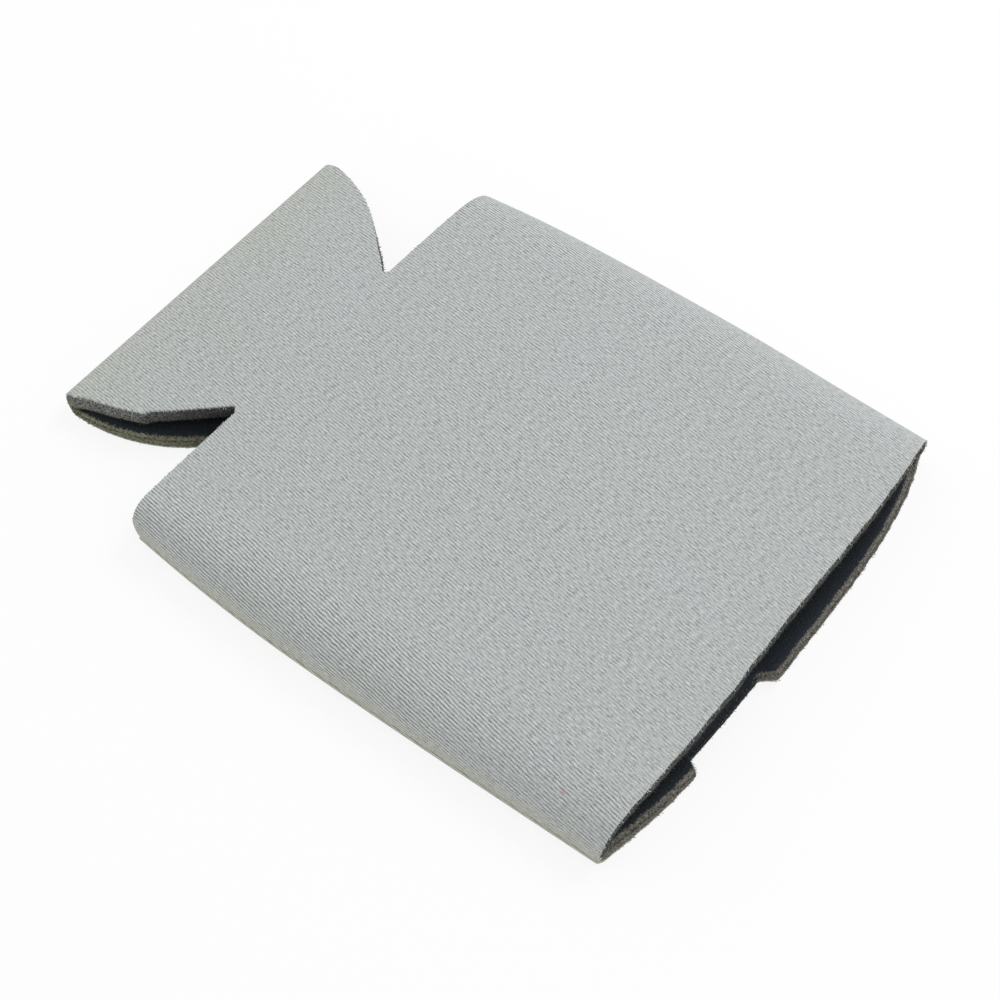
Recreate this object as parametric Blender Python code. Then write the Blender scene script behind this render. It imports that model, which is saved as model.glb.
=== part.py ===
"""A foam can cooler sleeve, pressed flat as it is sold.

One die-cut blank of knit-faced foam: two body panels with a round base between them.
The base is folded in half, and the panels' long edges are joined into two side seams.
It lies on its lower panel: +X runs from the fold to the mouth, +Y across, +Z up.
The origin is under the middle of the sleeve, on the surface that it lies on.
"""

import functools
import math

import bmesh
import bpy

# Plan of the flat sleeve, in metres
PANEL_LENGTH = 0.1028
BASE_LENGTH = 0.0308
BELLY_WIDTH = 0.1020
BASE_CORNER_WIDTH = 0.0986
MOUTH_WIDTH = 0.1000
BELLY_FROM_BASE = 0.0360
NECK_WIDTH = 0.0414
FOLD_WIDTH = 0.0736
NOTCH_RADIUS = 0.0007
CORNER_BACK = 0.0010
CORNER_CURVE = 4

# Thickness of the sheet, and of the gap between the two layers
SHEET = 0.0030
FOLD_SHEET = 0.0023
FOLD_GAP = 0.0004
NECK_GAP = 0.0026
MOUTH_GAP = 0.0049
BODY_OPENING = 5
BASE_OPENING = 0.8
FOLD_SQUEEZE = 4

# Section of the body at its side seams
SEAM_HEIGHT = 0.0023
SEAM_GROOVE = 0.0005
SEAM_LIP = 0.0001
CREASE_RISE = 0.0012
TOP_ROLL = 0.0130
BASE_CORNER_ROLL = 0.0085
CORNER_ROLL_RUN = 0.0300
LOWER_ROLL = 0.0025
ROLL_FULLNESS = 2.4

# The mouth's rims: the corners are drawn back, and the upper panel stops short of the lower one
CORNER_PULL = 0.0043
UPPER_SETBACK = 0.0022
LOWER_RIM_CURVE = 3.2
UPPER_RIM_CURVE = 4
RIM_CUT_WIDTH = 0.0200
RIM_CUT_DEPTH = 0.0022
RIM_CUT_CENTRE_Y = -0.0178
RIM_CUT_ROUND = 0.0008

# How far the base's upper layer is drawn in between the neck and the fold
NEAR_PULL = 0.0016
FAR_PULL = 0.0036

# Places worked out from the sizes above
FOLD_X = -(PANEL_LENGTH + BASE_LENGTH) / 2
BASE_X = FOLD_X + BASE_LENGTH
MOUTH_X = BASE_X + PANEL_LENGTH
FOLD_HEIGHT = 2 * FOLD_SHEET + FOLD_GAP
FOLD_CENTRE_X = FOLD_X + FOLD_HEIGHT / 2
NOTCH_Y = NECK_WIDTH / 2 + NOTCH_RADIUS

# Mesh density
BODY_ROWS = 16
BASE_ROWS = 9
FOLD_STEPS = 6
NECK_STEPS = 6
SIDE_STEPS = 4
ROLL_STEPS = 6
ROLL_CROWDING = 1.8
CUT_EDGE_ANGLE = math.radians(50)
OUTER, INNER = 0, 1
UPPER, LOWER = "upper", "lower"
KNIT_FACE, FOAM_FACE = 0, 1


def mix(a, b, share):
    """The value that lies this share of the way from a to b."""
    return a + (b - a) * share


def body_half_width(from_base):
    """Half of the body's width at a distance from the line where its base starts."""
    if from_base < BELLY_FROM_BASE:
        share = 1 - from_base / BELLY_FROM_BASE
        return mix(BELLY_WIDTH, BASE_CORNER_WIDTH, share ** 2) / 2
    share = (from_base - BELLY_FROM_BASE) / (PANEL_LENGTH - BELLY_FROM_BASE)
    return mix(BELLY_WIDTH, MOUTH_WIDTH, share ** 2) / 2


def body_gap(from_base):
    """Height of the hollow between the panels, which opens soon after the neck."""
    closed = max(0.0, 1 - from_base / PANEL_LENGTH) ** BODY_OPENING
    return mix(MOUTH_GAP, NECK_GAP, closed)


def top_roll(from_base):
    """Width of the upper panel's roll, which is tighter at the body's base corners."""
    share = min(1.0, from_base / CORNER_ROLL_RUN)
    return mix(BASE_CORNER_ROLL, TOP_ROLL, share)


def base_arc():
    """Centre and radius of the base's side edge: square to the fold, tangent to the notch's round."""
    reach = FOLD_WIDTH / 2 + NOTCH_RADIUS
    run = BASE_LENGTH - NOTCH_RADIUS
    centre = (reach ** 2 - NOTCH_Y ** 2 - run ** 2) / (2 * (reach - NOTCH_Y))
    return centre, FOLD_WIDTH / 2 - centre


def base_half_width(from_fold):
    """Half of the base's width at a distance from the fold."""
    centre, radius = base_arc()
    return centre + math.sqrt(max(0.0, radius ** 2 - from_fold ** 2))


def notch_point(angle):
    """A point on the round at the notch's end: 0 on the body's edge, then towards the fold."""
    x = BASE_X - NOTCH_RADIUS + NOTCH_RADIUS * math.cos(angle)
    return x, NOTCH_Y - NOTCH_RADIUS * math.sin(angle)


def notch_sweep():
    """The angle at which the notch's round runs into the base's side edge."""
    centre, _ = base_arc()
    return math.pi - math.atan2(NOTCH_Y - centre, BASE_LENGTH - NOTCH_RADIUS)


def roll(depth):
    """The section of a rolled edge, a full quarter round: 0 at the seam, 1 past the roll."""
    inward = min(max(depth, 0.0), 1.0)
    return (1 - (1 - inward) ** ROLL_FULLNESS) ** (1 / ROLL_FULLNESS)


def column_edges():
    """Distances of the mesh's columns from the centre line, on one side, at the base corner's width."""
    half = BASE_CORNER_WIDTH / 2
    notch = notch_sweep()
    columns = [NECK_WIDTH / 2 * step / (NECK_STEPS / 2) for step in range(NECK_STEPS // 2)]
    neck = len(columns)
    columns += [notch_point(notch / 2 * (1 - step / 2))[1] for step in range(3)]
    columns += [mix(NOTCH_Y, half - TOP_ROLL, step / SIDE_STEPS) for step in range(1, SIDE_STEPS)]
    columns += [half - TOP_ROLL * (1 - step / ROLL_STEPS) ** ROLL_CROWDING for step in range(ROLL_STEPS)]
    columns += [half - SEAM_LIP, half]
    return columns, neck


def columns_across():
    """Every column from the near seam to the far one, and the two that end at the neck."""
    side, neck = column_edges()
    across = [-value for value in reversed(side[1:])] + side
    middle = len(side) - 1
    return across, middle - neck, middle + neck


COLUMNS, NEAR_NECK, FAR_NECK = columns_across()
LAST = len(COLUMNS) - 1


def edge_x(column):
    """Where a column starts: the body's edge at the notch, with its corner drawn back."""
    reach = abs(COLUMNS[column])
    if reach <= NECK_WIDTH / 2 - NOTCH_RADIUS:
        return BASE_X
    if reach < NOTCH_Y:
        lean = math.asin((NOTCH_Y - reach) / NOTCH_RADIUS)
        return notch_point(lean)[0]
    share = (reach - NOTCH_Y) / (BASE_CORNER_WIDTH / 2 - NOTCH_Y)
    return BASE_X + CORNER_BACK * share ** CORNER_CURVE


def rim_x(column, panel):
    """Where a column ends: the rim at the mouth."""
    share = abs(COLUMNS[column]) / (BASE_CORNER_WIDTH / 2)
    if panel == LOWER:
        return MOUTH_X - CORNER_PULL * share ** LOWER_RIM_CURVE
    return MOUTH_X - mix(UPPER_SETBACK, CORNER_PULL, share ** UPPER_RIM_CURVE)


def body_point(panel, row, column, layer):
    """A point of one body panel, on its outer or inner face."""
    share = row / BODY_ROWS
    along = (1 - math.cos(math.pi * share)) / 2
    x = mix(edge_x(column), rim_x(column, panel), along)
    from_base = max(0.0, x - BASE_X)
    depth = SHEET if layer == INNER else 0.0
    half = body_half_width(from_base)
    reach = abs(COLUMNS[column])
    if reach > NOTCH_Y:
        outward = (reach - NOTCH_Y) / (BASE_CORNER_WIDTH / 2 - NOTCH_Y)
        reach = mix(NOTCH_Y, half - depth, outward)
    inward = half - depth - reach
    height = 2 * SHEET + body_gap(from_base)
    seam = SHEET + CREASE_RISE if layer == INNER else SEAM_HEIGHT
    if panel == UPPER:
        z = mix(seam, height - depth, roll(inward / top_roll(from_base)))
    else:
        z = mix(seam, depth, roll(inward / LOWER_ROLL))
    if column in (0, LAST) and layer == OUTER:
        reach -= SEAM_GROOVE
    return x, math.copysign(reach, COLUMNS[column]), z


def base_stations():
    """Stations along the base's upper layer, from the neck to the fold: x and half width."""
    sweep = notch_sweep()
    stations = [notch_point(sweep * (1 + step) / 2) for step in (0.5, 1)]
    start = stations[-1][0]
    for step in range(1, BASE_ROWS + 1):
        x = mix(start, FOLD_CENTRE_X, step / BASE_ROWS)
        stations.append((x, base_half_width(x - FOLD_X)))
    return stations


STATIONS = base_stations()


def base_layers(x):
    """Thickness of the sheet and the gap between its layers, at a place along the base."""
    closed = min(1.0, (BASE_X - x) / (BASE_X - FOLD_CENTRE_X))
    sheet = mix(SHEET, FOLD_SHEET, closed ** FOLD_SQUEEZE)
    gap = mix(FOLD_GAP, NECK_GAP, math.cos(math.pi / 2 * closed) ** BASE_OPENING)
    return sheet, gap, closed


def share_across(column):
    """A base column's place between the centre line and the base's side edge, from -1 to 1."""
    if column in (NEAR_NECK, FAR_NECK):
        return math.copysign(1.0, COLUMNS[column])
    return COLUMNS[column] / (NECK_WIDTH / 2)


def pull_share(closed):
    """How the upper layer's pull is spread: none at the neck and fold, all of it a third of the way."""
    return closed * (1 - closed) ** 2 / (1 / 3 * (2 / 3) ** 2)


def base_point(panel, station, column, layer):
    """A point of the base's upper or lower layer."""
    x, half = STATIONS[station]
    sheet, gap, closed = base_layers(x)
    across = share_across(column)
    depth = sheet if layer == INNER else 0.0
    z = 2 * sheet + gap - depth if panel == UPPER else depth
    if panel == UPPER:
        pull = NEAR_PULL if across < 0 else FAR_PULL
        half -= pull * pull_share(closed) * abs(across)
    return x, across * half, z


def fold_point(step, column, layer):
    """A point of the sheet where it turns over at the fold."""
    turn = math.pi * step / FOLD_STEPS
    radius = FOLD_GAP / 2 if layer == INNER else FOLD_HEIGHT / 2
    half = STATIONS[-1][1]
    x = FOLD_CENTRE_X - radius * math.sin(turn)
    return x, share_across(column) * half, FOLD_HEIGHT / 2 + radius * math.cos(turn)


class SleeveMesh:
    """Builds the folded blank as one closed mesh."""

    def __init__(self):
        self.bm = bmesh.new()
        self.corners = {}
        self.last_station = 2 * len(STATIONS) + FOLD_STEPS

    def corner(self, key, place):
        if key not in self.corners:
            self.corners[key] = self.bm.verts.new(place)
        return self.corners[key]

    def body(self, panel, row, column, layer):
        shared = "seam" if column in (0, LAST) else panel
        key = (shared, row, column, layer)
        return self.corner(key, body_point(panel, row, column, layer))

    def base(self, station, column, layer):
        """Stations run from the upper neck over the fold and back to the lower neck."""
        count = len(STATIONS)
        if station == 0:
            return self.body(UPPER, 0, column, layer)
        if station == self.last_station:
            return self.body(LOWER, 0, column, layer)
        key = ("base", station, column, layer)
        if station < count:
            return self.corner(key, base_point(UPPER, station - 1, column, layer))
        if station <= count + FOLD_STEPS:
            return self.corner(key, fold_point(station - count, column, layer))
        return self.corner(key, base_point(LOWER, self.last_station - station - 1, column, layer))

    def quad(self, corners, material):
        face = self.bm.faces.new(corners)
        face.material_index = material
        face.smooth = True

    def surface(self, place, rows, first, last, layer):
        """One face of the sheet, as a grid of quads."""
        material = KNIT_FACE if layer == OUTER else FOAM_FACE
        for row in range(rows):
            for column in range(first, last):
                ring = [place(row, column, layer), place(row, column + 1, layer)]
                ring += [place(row + 1, column + 1, layer), place(row + 1, column, layer)]
                self.quad(ring, material)

    def cut_edge(self, place, spots):
        """The cut edge of the sheet along a run of spots, each a row and a column."""
        for one, other in zip(spots, spots[1:]):
            ring = [place(*one, OUTER), place(*other, OUTER), place(*other, INNER), place(*one, INNER)]
            self.quad(ring, FOAM_FACE)

    def panel_edges(self, place):
        """The rim at the mouth, and the two edges beside the neck."""
        for row, first, last in ((BODY_ROWS, 0, LAST), (0, 0, NEAR_NECK), (0, FAR_NECK, LAST)):
            self.cut_edge(place, [(row, column) for column in range(first, last + 1)])

    def build(self):
        panels = [functools.partial(self.body, panel) for panel in (UPPER, LOWER)]
        for layer in (OUTER, INNER):
            for place in panels:
                self.surface(place, BODY_ROWS, 0, LAST, layer)
            self.surface(self.base, self.last_station, NEAR_NECK, FAR_NECK, layer)
        for place in panels:
            self.panel_edges(place)
        for column in (NEAR_NECK, FAR_NECK):
            self.cut_edge(self.base, [(station, column) for station in range(self.last_station + 1)])
        bmesh.ops.recalc_face_normals(self.bm, faces=self.bm.faces)
        return self.bm


def material(name, colour, roughness):
    """A plain dry surface: no metal, little shine."""
    made = bpy.data.materials.new(name)
    made.use_nodes = True
    shader = made.node_tree.nodes["Principled BSDF"]
    shader.inputs["Base Color"].default_value = (*colour, 1.0)
    shader.inputs["Roughness"].default_value = roughness
    shader.inputs["Metallic"].default_value = 0.0
    return made


def add_object(name, bm):
    """Puts a finished mesh in the scene."""
    mesh = bpy.data.meshes.new(name)
    bm.to_mesh(mesh)
    bm.free()
    made = bpy.data.objects.new(name, mesh)
    bpy.context.scene.collection.objects.link(made)
    return made


def rim_cutter():
    """A block that takes the shallow cut out of the lower panel's rim."""
    middle = abs(RIM_CUT_CENTRE_Y) / (BASE_CORNER_WIDTH / 2)
    floor_x = MOUTH_X - CORNER_PULL * middle ** LOWER_RIM_CURVE - RIM_CUT_DEPTH
    outer_x = MOUTH_X + RIM_CUT_DEPTH
    top = SHEET + MOUTH_GAP / 2
    bottom = -SHEET
    bm = bmesh.new()
    bmesh.ops.create_cube(bm, size=1.0)
    for vert in bm.verts:
        vert.co.x = mix(floor_x, outer_x, vert.co.x + 0.5)
        vert.co.y = RIM_CUT_CENTRE_Y + RIM_CUT_WIDTH * vert.co.y
        vert.co.z = mix(bottom, top, vert.co.z + 0.5)
    inner = [e for e in bm.edges if all(abs(v.co.x - floor_x) < 1e-9 for v in e.verts)]
    upright = [e for e in inner if abs(e.verts[0].co.z - e.verts[1].co.z) > SHEET]
    bmesh.ops.bevel(bm, geom=upright, offset=RIM_CUT_ROUND, segments=3, affect="EDGES", profile=0.5)
    for face in bm.faces:
        face.material_index = FOAM_FACE
    return add_object("rim_cutter", bm)


def main():
    for old in list(bpy.data.objects):
        bpy.data.objects.remove(old)
    knit = material("pale_grey_knit", (0.47, 0.49, 0.475), 0.85)
    foam = material("dark_foam", (0.035, 0.038, 0.036), 0.95)
    sleeve = add_object("folded_sleeve", SleeveMesh().build())
    cutter = rim_cutter()
    for piece in (sleeve, cutter):
        piece.data.materials.append(knit)
        piece.data.materials.append(foam)
    cutter.hide_render = True
    cutter.display_type = "WIRE"
    sleeve.data.set_sharp_from_angle(angle=CUT_EDGE_ANGLE)
    cut = sleeve.modifiers.new("rim cut", "BOOLEAN")
    cut.operation = "DIFFERENCE"
    cut.solver = "EXACT"
    cut.object = cutter


main()
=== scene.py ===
# %% [markdown]
# A foam can cooler sleeve, pressed flat as it is sold.
# It is one die-cut blank of knit-faced foam: two body panels with a round base between them.
# The base is folded in half and sticks out as a tail, and the panels' long edges meet in two side seams.
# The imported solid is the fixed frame, in metres: +X runs from the fold to the mouth, +Z is up.
# The sheet is laminated, so it is made as two pieces: a thin knit face and the foam core behind it.

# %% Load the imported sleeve
import math

import bmesh
import bpy
import numpy as np
from mathutils import Matrix, Vector, noise


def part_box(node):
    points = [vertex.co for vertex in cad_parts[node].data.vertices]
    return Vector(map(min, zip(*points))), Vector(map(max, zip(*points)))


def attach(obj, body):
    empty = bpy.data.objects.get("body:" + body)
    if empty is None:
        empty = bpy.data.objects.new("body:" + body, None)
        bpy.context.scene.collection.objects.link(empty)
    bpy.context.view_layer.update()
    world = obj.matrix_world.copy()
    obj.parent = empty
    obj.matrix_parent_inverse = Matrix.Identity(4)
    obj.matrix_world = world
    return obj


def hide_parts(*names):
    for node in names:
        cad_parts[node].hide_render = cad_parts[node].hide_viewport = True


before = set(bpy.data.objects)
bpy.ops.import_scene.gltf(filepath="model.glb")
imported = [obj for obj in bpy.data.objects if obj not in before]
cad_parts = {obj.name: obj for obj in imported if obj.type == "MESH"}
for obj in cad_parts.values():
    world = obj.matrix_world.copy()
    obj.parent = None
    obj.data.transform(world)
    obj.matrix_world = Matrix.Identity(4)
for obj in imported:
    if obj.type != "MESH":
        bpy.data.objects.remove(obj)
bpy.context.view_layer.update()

SLEEVE = "folded_sleeve"
LOW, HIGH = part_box(SLEEVE)
MM = 0.001
print("sleeve in mm:", [round(side / MM, 1) for side in HIGH - LOW])

# %% [markdown]
# The camera is solved from the photograph's outline, as an azimuth, an elevation and a distance.
# A long lens far away and a short one near by frame the same width, but only one gives the
# photograph's perspective, so the focal length is solved with them. The picture is square.

# %% Set the camera
PICTURE_SIDE = 1000
FOCAL_PIXELS = 1930
SENSOR = 36.0
CAMERA_AZIMUTH = math.radians(37.84)
CAMERA_ELEVATION = math.radians(54.96)
CAMERA_ROLL = math.radians(-0.13)
CAMERA_DISTANCE = 0.3347
CAMERA_TARGET = Vector((0.01009, -0.00660, 0.00488))


def add_object(name, data):
    """A new object in the scene."""
    made = bpy.data.objects.new(name, data)
    bpy.context.scene.collection.objects.link(made)
    return made


def add_camera():
    """Looks at the target from an azimuth that is counted from -Y towards +X."""
    level = math.cos(CAMERA_ELEVATION)
    back = Vector((math.sin(CAMERA_AZIMUTH) * level, -math.cos(CAMERA_AZIMUTH) * level,
                   math.sin(CAMERA_ELEVATION)))
    data = bpy.data.cameras.new("photo_camera")
    data.sensor_width = SENSOR
    data.lens = SENSOR * FOCAL_PIXELS / PICTURE_SIDE
    data.clip_start = 0.01
    camera = add_object("photo_camera", data)
    turn = back.to_track_quat("Z", "Y").to_matrix() @ Matrix.Rotation(CAMERA_ROLL, 3, "Z")
    camera.matrix_world = Matrix.Translation(CAMERA_TARGET + back * CAMERA_DISTANCE) @ turn.to_4x4()
    bpy.context.scene.camera = camera
    return camera


camera = add_camera()
print("lens in mm:", round(camera.data.lens, 2))

# %% [markdown]
# Shader maths reads best as ordinary expressions, so one small class wraps a socket.
# Adding, subtracting, multiplying or dividing wrapped sockets puts the matching Math node in the tree.
# Colours and vectors need their own nodes, because a Math node turns a colour grey. Geometry Nodes
# share these sockets, so the same class builds the fibres' tree further down.

# %% Write shader maths as Python expressions
class Link:
    """A socket in a node tree, with operators that add the nodes they stand for."""

    def __init__(self, tree, socket):
        self.tree = tree
        self.socket = socket

    def node(self, kind, settings=None, values=None, output=0):
        """Adds any node. Settings come first, because some change which sockets there are."""
        made = self.tree.nodes.new(kind)
        for key, value in (settings or {}).items():
            setattr(made, key, value)
        for key, value in (values or {}).items():
            if isinstance(value, Link):
                self.tree.links.new(value.socket, made.inputs[key])
            else:
                made.inputs[key].default_value = value
        return Link(self.tree, made.outputs[output])

    def math(self, operation, *others):
        return self.node("ShaderNodeMath", {"operation": operation}, dict(enumerate((self, *others))))

    def vector(self, operation, other, output=0):
        return self.node("ShaderNodeVectorMath", {"operation": operation}, {0: self, 1: other}, output)

    def object_place(self):
        """Where each point is on its object, in metres."""
        return self.node("ShaderNodeTexCoord", output=3)

    def __add__(self, other):
        return self.math("ADD", other)

    def __sub__(self, other):
        return self.math("SUBTRACT", other)

    def __rsub__(self, other):
        return self.node("ShaderNodeMath", {"operation": "SUBTRACT"}, {0: other, 1: self})

    def __mul__(self, other):
        return self.math("MULTIPLY", other)

    def __truediv__(self, other):
        return self.math("DIVIDE", other)

    __radd__ = __add__
    __rmul__ = __mul__

    def step(self, low, high):
        """0 below low and 1 above high, with a smooth turn between them."""
        settings = {"interpolation_type": "SMOOTHSTEP"}
        return self.node("ShaderNodeMapRange", settings, {"Value": self, "From Min": low, "From Max": high})

    def between(self, low, high):
        """Takes values from 0 to 1 to values from low to high."""
        return self * (high - low) + low


def colour(red, green, blue):
    """A colour as it looks on the screen, from 0 to 255, in the linear values that shaders use."""
    linear = []
    for value in (red, green, blue):
        share = value / 255
        linear.append(share / 12.92 if share <= 0.04045 else ((share + 0.055) / 1.055) ** 2.4)
    return (*linear, 1.0)


def new_material(name, constants):
    """A material with one Principled shader and its constants, and a link to start expressions from."""
    made = bpy.data.materials.new(name)
    made.use_nodes = True
    shader = made.node_tree.nodes["Principled BSDF"]
    for key, value in constants.items():
        shader.inputs[key].default_value = value
    return made, shader, Link(made.node_tree, shader.outputs[0])


def mix_colours(share, first, second, blend="MIX"):
    """Mixes two colours by a share, which may vary over the surface."""
    settings = {"data_type": "RGBA", "blend_type": blend}
    return share.node("ShaderNodeMix", settings, {0: share, 6: first, 7: second}, output=2)


def connect(link, shader, name):
    link.tree.links.new(link.socket, shader.inputs[name])


def add_bump(shader, height, distance):
    """Turns a height into the shader's normal. The distance is the height of 1, in metres."""
    normal = height.node("ShaderNodeBump", None, {"Height": height, "Distance": distance})
    connect(normal, shader, "Normal")


print("shader expressions ready")

# %% [markdown]
# The real knit is a fine jersey glued to the foam. Its wales are ribs a little over half a millimetre
# apart, and the die cut it askew, so they drift to one side as they run from the base to the mouth.
# An image of cloth would blur at this scale, so the ribs are a wave over the cloth's own UV map, in
# metres. Each rib is a row of stitches, and noise breaks and bends the rows as real yarn does.
# The ribs' colour is painted shade in the valleys and painted light on the ribs.
# The dashes are noise drawn out along the ribs, and stand for single yarns that catch the light.

# %% Describe the ribs
CLOTH_MAP = "cloth"
RIB_PITCH = 0.55 * MM
RIB_LEAN = math.radians(8.5)
RIB_HEIGHT = 0.09 * MM
RIB_WANDER = ((6.0 * MM, 0.35), (1.0 * MM, 0.22))
STITCH_PITCH = 0.42 * MM
STITCH_SHADE = 0.25
DASH_WIDTH = 0.32 * MM
DASH_SQUEEZE = 0.3
DASH_HEIGHT = 0.6
DASH_SHADE = 1.3
FAINT_RIB_PATCH = 1.8 * MM
FAINT_RIB_CLARITY = 0.55


def wave(phase):
    """Swings from 0 to 1 and back once for each whole number of the phase."""
    return (phase * (2 * math.pi)).math("COSINE").between(0.5, 1.0)


def axis_of(place, axis):
    """One of a vector's parts: 0, 1 or 2 for X, Y or Z."""
    return place.node("ShaderNodeSeparateXYZ", None, {0: place}, axis)


def cloth_noise(place, size, detail=2.0, rough=0.5):
    """Flat noise with grains of about this size, in metres."""
    values = {"Vector": place, "Scale": 1 / size, "Detail": detail, "Roughness": rough}
    return place.node("ShaderNodeTexNoise", {"noise_dimensions": "2D"}, values)


def rib_pattern(place, rib_shade_contrast):
    """The ribs' height, and their tone: painted shade low in the valleys and painted light high on the ribs.
    """
    along, across = axis_of(place, 0), axis_of(place, 1)
    down_rib = along * math.cos(RIB_LEAN) - across * math.sin(RIB_LEAN)
    over_rib = across * math.cos(RIB_LEAN) + along * math.sin(RIB_LEAN)
    wide, narrow = (cloth_noise(place, size).between(-turn, turn) for size, turn in RIB_WANDER)
    phase = over_rib / RIB_PITCH + (wide + narrow)
    rib = wave(phase)
    stitch = wave(down_rib / STITCH_PITCH + phase.math("FLOOR") * 0.5)
    dash_place = place.node("ShaderNodeCombineXYZ", None, {0: down_rib * DASH_SQUEEZE, 1: over_rib})
    dash = cloth_noise(dash_place, DASH_WIDTH, rough=0.6)
    # In random patches the ribs are fainter, both in height and in their painted light and shade.
    clarity = cloth_noise(place, FAINT_RIB_PATCH, 3.0).step(0.35, 0.62).between(FAINT_RIB_CLARITY, 1.0)
    height = rib * clarity * stitch.between(0.75, 1.0) + dash * DASH_HEIGHT
    tone = (rib - 0.5) * rib_shade_contrast + (stitch - 0.5) * STITCH_SHADE + (dash - 0.5) * DASH_SHADE
    return height, tone * clarity + 0.5


print("ribs every", RIB_PITCH / MM, "mm, stitches every", STITCH_PITCH / MM, "mm")

# %% [markdown]
# The same cloth looks different from place to place. The rolls stretch it, and there the painted shade in
# the valleys between the ribs and the painted light on the ribs are stronger, and less so near the slack
# mouth. The lower part of the rolls takes a warm tint, and a broken line of painted shade marks the groove
# along each side seam, where the two knit faces dip in and meet. One speck of red lint clings to the near
# roll. These are masks on Object coordinates, because they belong to where the cloth lies now and not to
# where it lay on the blank.

# %% Make the knit's material
KNIT_COLOUR = colour(213, 217, 217)
# The valley colour is painted shade between the ribs.
KNIT_VALLEY_SHADE = colour(126, 131, 130)
KNIT_TINT = colour(250, 252, 238)
TINT_PATCH = 18.0 * MM
TINT_SHARE = 0.2
STRETCHED_FROM, STRETCHED_TO = 36.0 * MM, 47.0 * MM
STRETCH_RANGE = 0.6, 1.15
SLACK_FROM, SLACK_TO = 15.0 * MM, 55.0 * MM
SLACK_LOSS = 0.4
KNIT_WARM = colour(254, 252, 238)
KNIT_LIP = colour(206, 204, 186)
WARM_BELOW, WARM_ABOVE = 0.5 * MM, 8.5 * MM
LIP_SHARE = 0.35
# Painted shade: a broken dark line in the groove along each side seam.
KNIT_SEAM_SHADE = colour(96, 96, 86)
SEAM_HEIGHT = 2.3 * MM
SEAM_LINE_HALF, SEAM_LINE_FADE = 0.05 * MM, 0.35 * MM
SEAM_LINE_FROM, SEAM_LINE_TO = 44.0 * MM, 46.0 * MM
SEAM_LINE_BREAKS = 1.5 * MM
SEAM_LINE_SHARE = 0.8
LINT_COLOUR = colour(196, 132, 126)
LINT_PLACE = (0.0534, -0.0466)
LINT_RADIUS = 0.55 * MM
LINT_SHARE = 0.6


def seam_shade_mask(place, sideways, up):
    """1 on the line of painted shade in the side seams' groove, with weaker stretches in it."""
    line = 1 - (up - SEAM_HEIGHT).math("ABSOLUTE").step(SEAM_LINE_HALF, SEAM_LINE_FADE)
    breaks = cloth_noise(place, SEAM_LINE_BREAKS).between(0.2, 1.0)
    return line * sideways.step(SEAM_LINE_FROM, SEAM_LINE_TO) * breaks * SEAM_LINE_SHARE


def lint_mask(spot):
    """The one speck of lint, seen from above."""
    away = spot.vector("MULTIPLY", (1.0, 1.0, 0.0)).vector("DISTANCE", (*LINT_PLACE, 0.0), output=1)
    return (1 - away.step(0.3 * LINT_RADIUS, LINT_RADIUS)) * LINT_SHARE


def knit_material():
    constants = {"Roughness": 0.85, "Sheen Weight": 0.12, "Sheen Roughness": 0.5, "Specular IOR Level": 0.2}
    made, shader, start = new_material("knit_cloth", constants)
    place = start.node("ShaderNodeUVMap", {"uv_map": CLOTH_MAP})
    spot = start.object_place()
    to_mouth, sideways, up = axis_of(spot, 0), axis_of(spot, 1).math("ABSOLUTE"), axis_of(spot, 2)
    # How strong the ribs' painted shade and light are: stronger over the stretched rolls, weaker near the
    # mouth.
    rib_shade_contrast = sideways.step(STRETCHED_FROM, STRETCHED_TO).between(*STRETCH_RANGE)
    rib_shade_contrast = rib_shade_contrast * (1 - to_mouth.step(SLACK_FROM, SLACK_TO) * SLACK_LOSS)
    height, tone = rib_pattern(place, rib_shade_contrast)
    # The tone mixes painted shade in the valleys with the lit colour of the ribs.
    body = mix_colours(tone.step(-0.2, 1.2), KNIT_VALLEY_SHADE, KNIT_COLOUR)
    patches = cloth_noise(place, TINT_PATCH).step(0.35, 0.75) * TINT_SHARE
    body = mix_colours(patches, body, KNIT_TINT, "MULTIPLY")
    warm = 1 - up.step(WARM_BELOW, WARM_ABOVE)
    body = mix_colours(warm, body, KNIT_WARM, "MULTIPLY")
    body = mix_colours(warm * warm * LIP_SHARE, body, KNIT_LIP)
    # Painted shade in the side seams' groove.
    body = mix_colours(seam_shade_mask(place, sideways, up), body, KNIT_SEAM_SHADE)
    body = mix_colours(lint_mask(spot), body, LINT_COLOUR)
    connect(body, shader, "Base Color")
    add_bump(shader, height, RIB_HEIGHT)
    return made


KNIT = knit_material()
print(KNIT.name, "has", len(KNIT.node_tree.nodes), "nodes")

# %% [markdown]
# The sheet's plan has few driving sizes: the panel, the neck, the fold and the two notches. The mouth,
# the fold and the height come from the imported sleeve, so the dressed part can't drift off its frame.
# The side of the base is an arc that starts square to the fold and runs into the notch's small round.

# %% Set the sleeve's sizes
SHEET = 3.0 * MM
BASE_LENGTH = 30.8 * MM
FOLD_X = LOW.x
MOUTH_X = HIGH.x
BASE_X = FOLD_X + BASE_LENGTH
PANEL_LENGTH = MOUTH_X - BASE_X
MOUTH_GAP = HIGH.z - 2 * SHEET
NECK_GAP = 2.6 * MM
FOLD_WIDTH = 73.6 * MM
NECK_WIDTH = 41.4 * MM
BELLY_WIDTH = 102.0 * MM
BASE_CORNER_WIDTH = 98.6 * MM
MOUTH_WIDTH = 100.0 * MM
BELLY_FROM_BASE = 36.0 * MM
NOTCH_RADIUS = 0.7 * MM
NOTCH_Y = NECK_WIDTH / 2 + NOTCH_RADIUS
CORNER = BASE_CORNER_WIDTH / 2
print("panel length in mm:", round(PANEL_LENGTH / MM, 1), "mouth gap:", round(MOUTH_GAP / MM, 1))


def mix(first, second, share):
    """The value that lies this share of the way from the first to the second."""
    return first + (second - first) * share


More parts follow.
